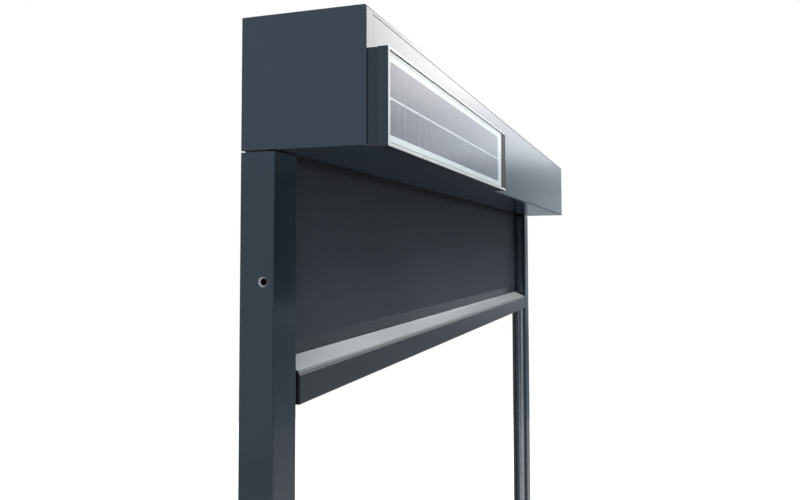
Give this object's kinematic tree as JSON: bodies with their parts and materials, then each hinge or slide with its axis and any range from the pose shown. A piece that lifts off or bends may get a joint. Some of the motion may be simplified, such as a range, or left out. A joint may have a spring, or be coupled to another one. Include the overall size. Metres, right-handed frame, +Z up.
{
  "type": "vertical awning",
  "caption": "Vertical window awning: square cassette with a motor roller and a front solar module, side-guided screen fabric, weighted bottom bar and two slotted guide rails.",
  "frame": {"origin": "centre of the cassette's back face, on the wall plane", "axes": "+X along the cassette, to the right as seen from in front; +Y into the wall; +Z up"},
  "size_m": [1.385, 0.1452, 1.6],
  "materials": {
    "coated_aluminium": "satin anthracite powder coat",
    "black_plastic": "fine-textured moulded plastic",
    "liner_plastic": "smooth light grey strip",
    "foam_rubber": "closed-cell foam",
    "screen_cloth": "coated glass-fibre weave",
    "zip_tape": "woven tape with a moulded zip",
    "zinc_steel": "zinc plated",
    "bearing_steel": "ground and polished",
    "plain_aluminium": "mill finish",
    "motor_steel": "smooth painted tube",
    "copper_winding": "enamelled wire and core plates",
    "battery_sleeve": "smooth tube",
    "cell_wrap": "shrink-wrapped cells",
    "module_frame": "satin anthracite",
    "module_backsheet": "white film",
    "silicon": "dark crystalline cells",
    "module_glass": "clear tempered glass",
    "module_cover": "dark cover over the cable connection"
  },
  "bodies": {
    "frame": {"battery_cells": "cell_wrap", "battery_clips": "black_plastic", "battery_end_caps": "black_plastic", "battery_tube": "battery_sleeve", "bearing_outer_ring": "bearing_steel", "bracket_screws": "zinc_steel", "cable_grommet": "foam_rubber", "cassette_back_profile": "coated_aluminium", "cassette_front_cover": "coated_aluminium", "channel_liner_left": "liner_plastic", "channel_liner_right": "liner_plastic", "end_cap_left": "coated_aluminium", "end_cap_right": "coated_aluminium", "hanging_screen": "screen_cloth", "idler_bracket": "zinc_steel", "insert_spring_left": "foam_rubber", "insert_spring_right": "foam_rubber", "motor_body": "motor_steel", "motor_bracket": "zinc_steel", "motor_gearbox": "motor_steel", "motor_head": "black_plastic", "motor_winding": "copper_winding", "rail_base_left": "coated_aluminium", "rail_base_right": "coated_aluminium", "rail_cover_left": "coated_aluminium", "rail_cover_right": "coated_aluminium", "rail_foot_left": "black_plastic", "rail_foot_right": "black_plastic", "rail_inlet_left": "black_plastic", "rail_inlet_right": "black_plastic", "side_plate_left": "zinc_steel", "side_plate_right": "zinc_steel", "side_plate_screws": "zinc_steel", "solar_backsheet": "module_backsheet", "solar_cells": "silicon", "solar_frame": "module_frame", "solar_glass": "module_glass", "solar_holder": "black_plastic", "solar_junction_cover": "module_cover", "solar_screws": "zinc_steel", "zip_insert_left": "black_plastic", "zip_insert_right": "black_plastic", "zip_tape_left": "zip_tape", "zip_tape_right": "zip_tape"},
    "roller": {"roller_tube": "plain_aluminium", "roller_keder": "zip_tape", "wound_screen": "screen_cloth", "motor_crown": "black_plastic", "motor_shaft": "zinc_steel", "drive_wheel": "black_plastic", "bearing_inner_ring": "bearing_steel", "idler_pin": "bearing_steel", "idler_plug": "black_plastic"},
    "ball_ring": {"bearing_balls": "bearing_steel"},
    "bottom_bar": {"bar_profile": "coated_aluminium", "bar_keder": "zip_tape", "bar_ballast": "zinc_steel", "bar_end_cap_left": "black_plastic", "bar_end_cap_right": "black_plastic", "bar_cap_screws": "zinc_steel"}
  },
  "joints": [
    {"name": "screen_drop", "type": "slide", "parent": "frame", "child": "bottom_bar", "axis": [0, 0, -1], "range_m": [-0.24, 1.23], "deforming": ["hanging_screen", "zip_tape_left", "zip_tape_right"]},
    {"name": "roller_spin", "type": "hinge", "parent": "frame", "child": "roller", "pos_m": [0, -0.0436, 0.0075], "axis": [-1, 0, 0], "range_deg": [-400, 1960]},
    {"name": "ball_ring_spin", "type": "hinge", "parent": "frame", "child": "ball_ring", "pos_m": [0, -0.0436, 0.0075], "axis": [-1, 0, 0], "range_deg": [-160, 760]}
  ],
  "couplings": [
    {"joint": "roller_spin", "follows": "screen_drop", "rad_per_m": 27.548},
    {"joint": "ball_ring_spin", "follows": "screen_drop", "rad_per_m": 10.496}
  ]
}
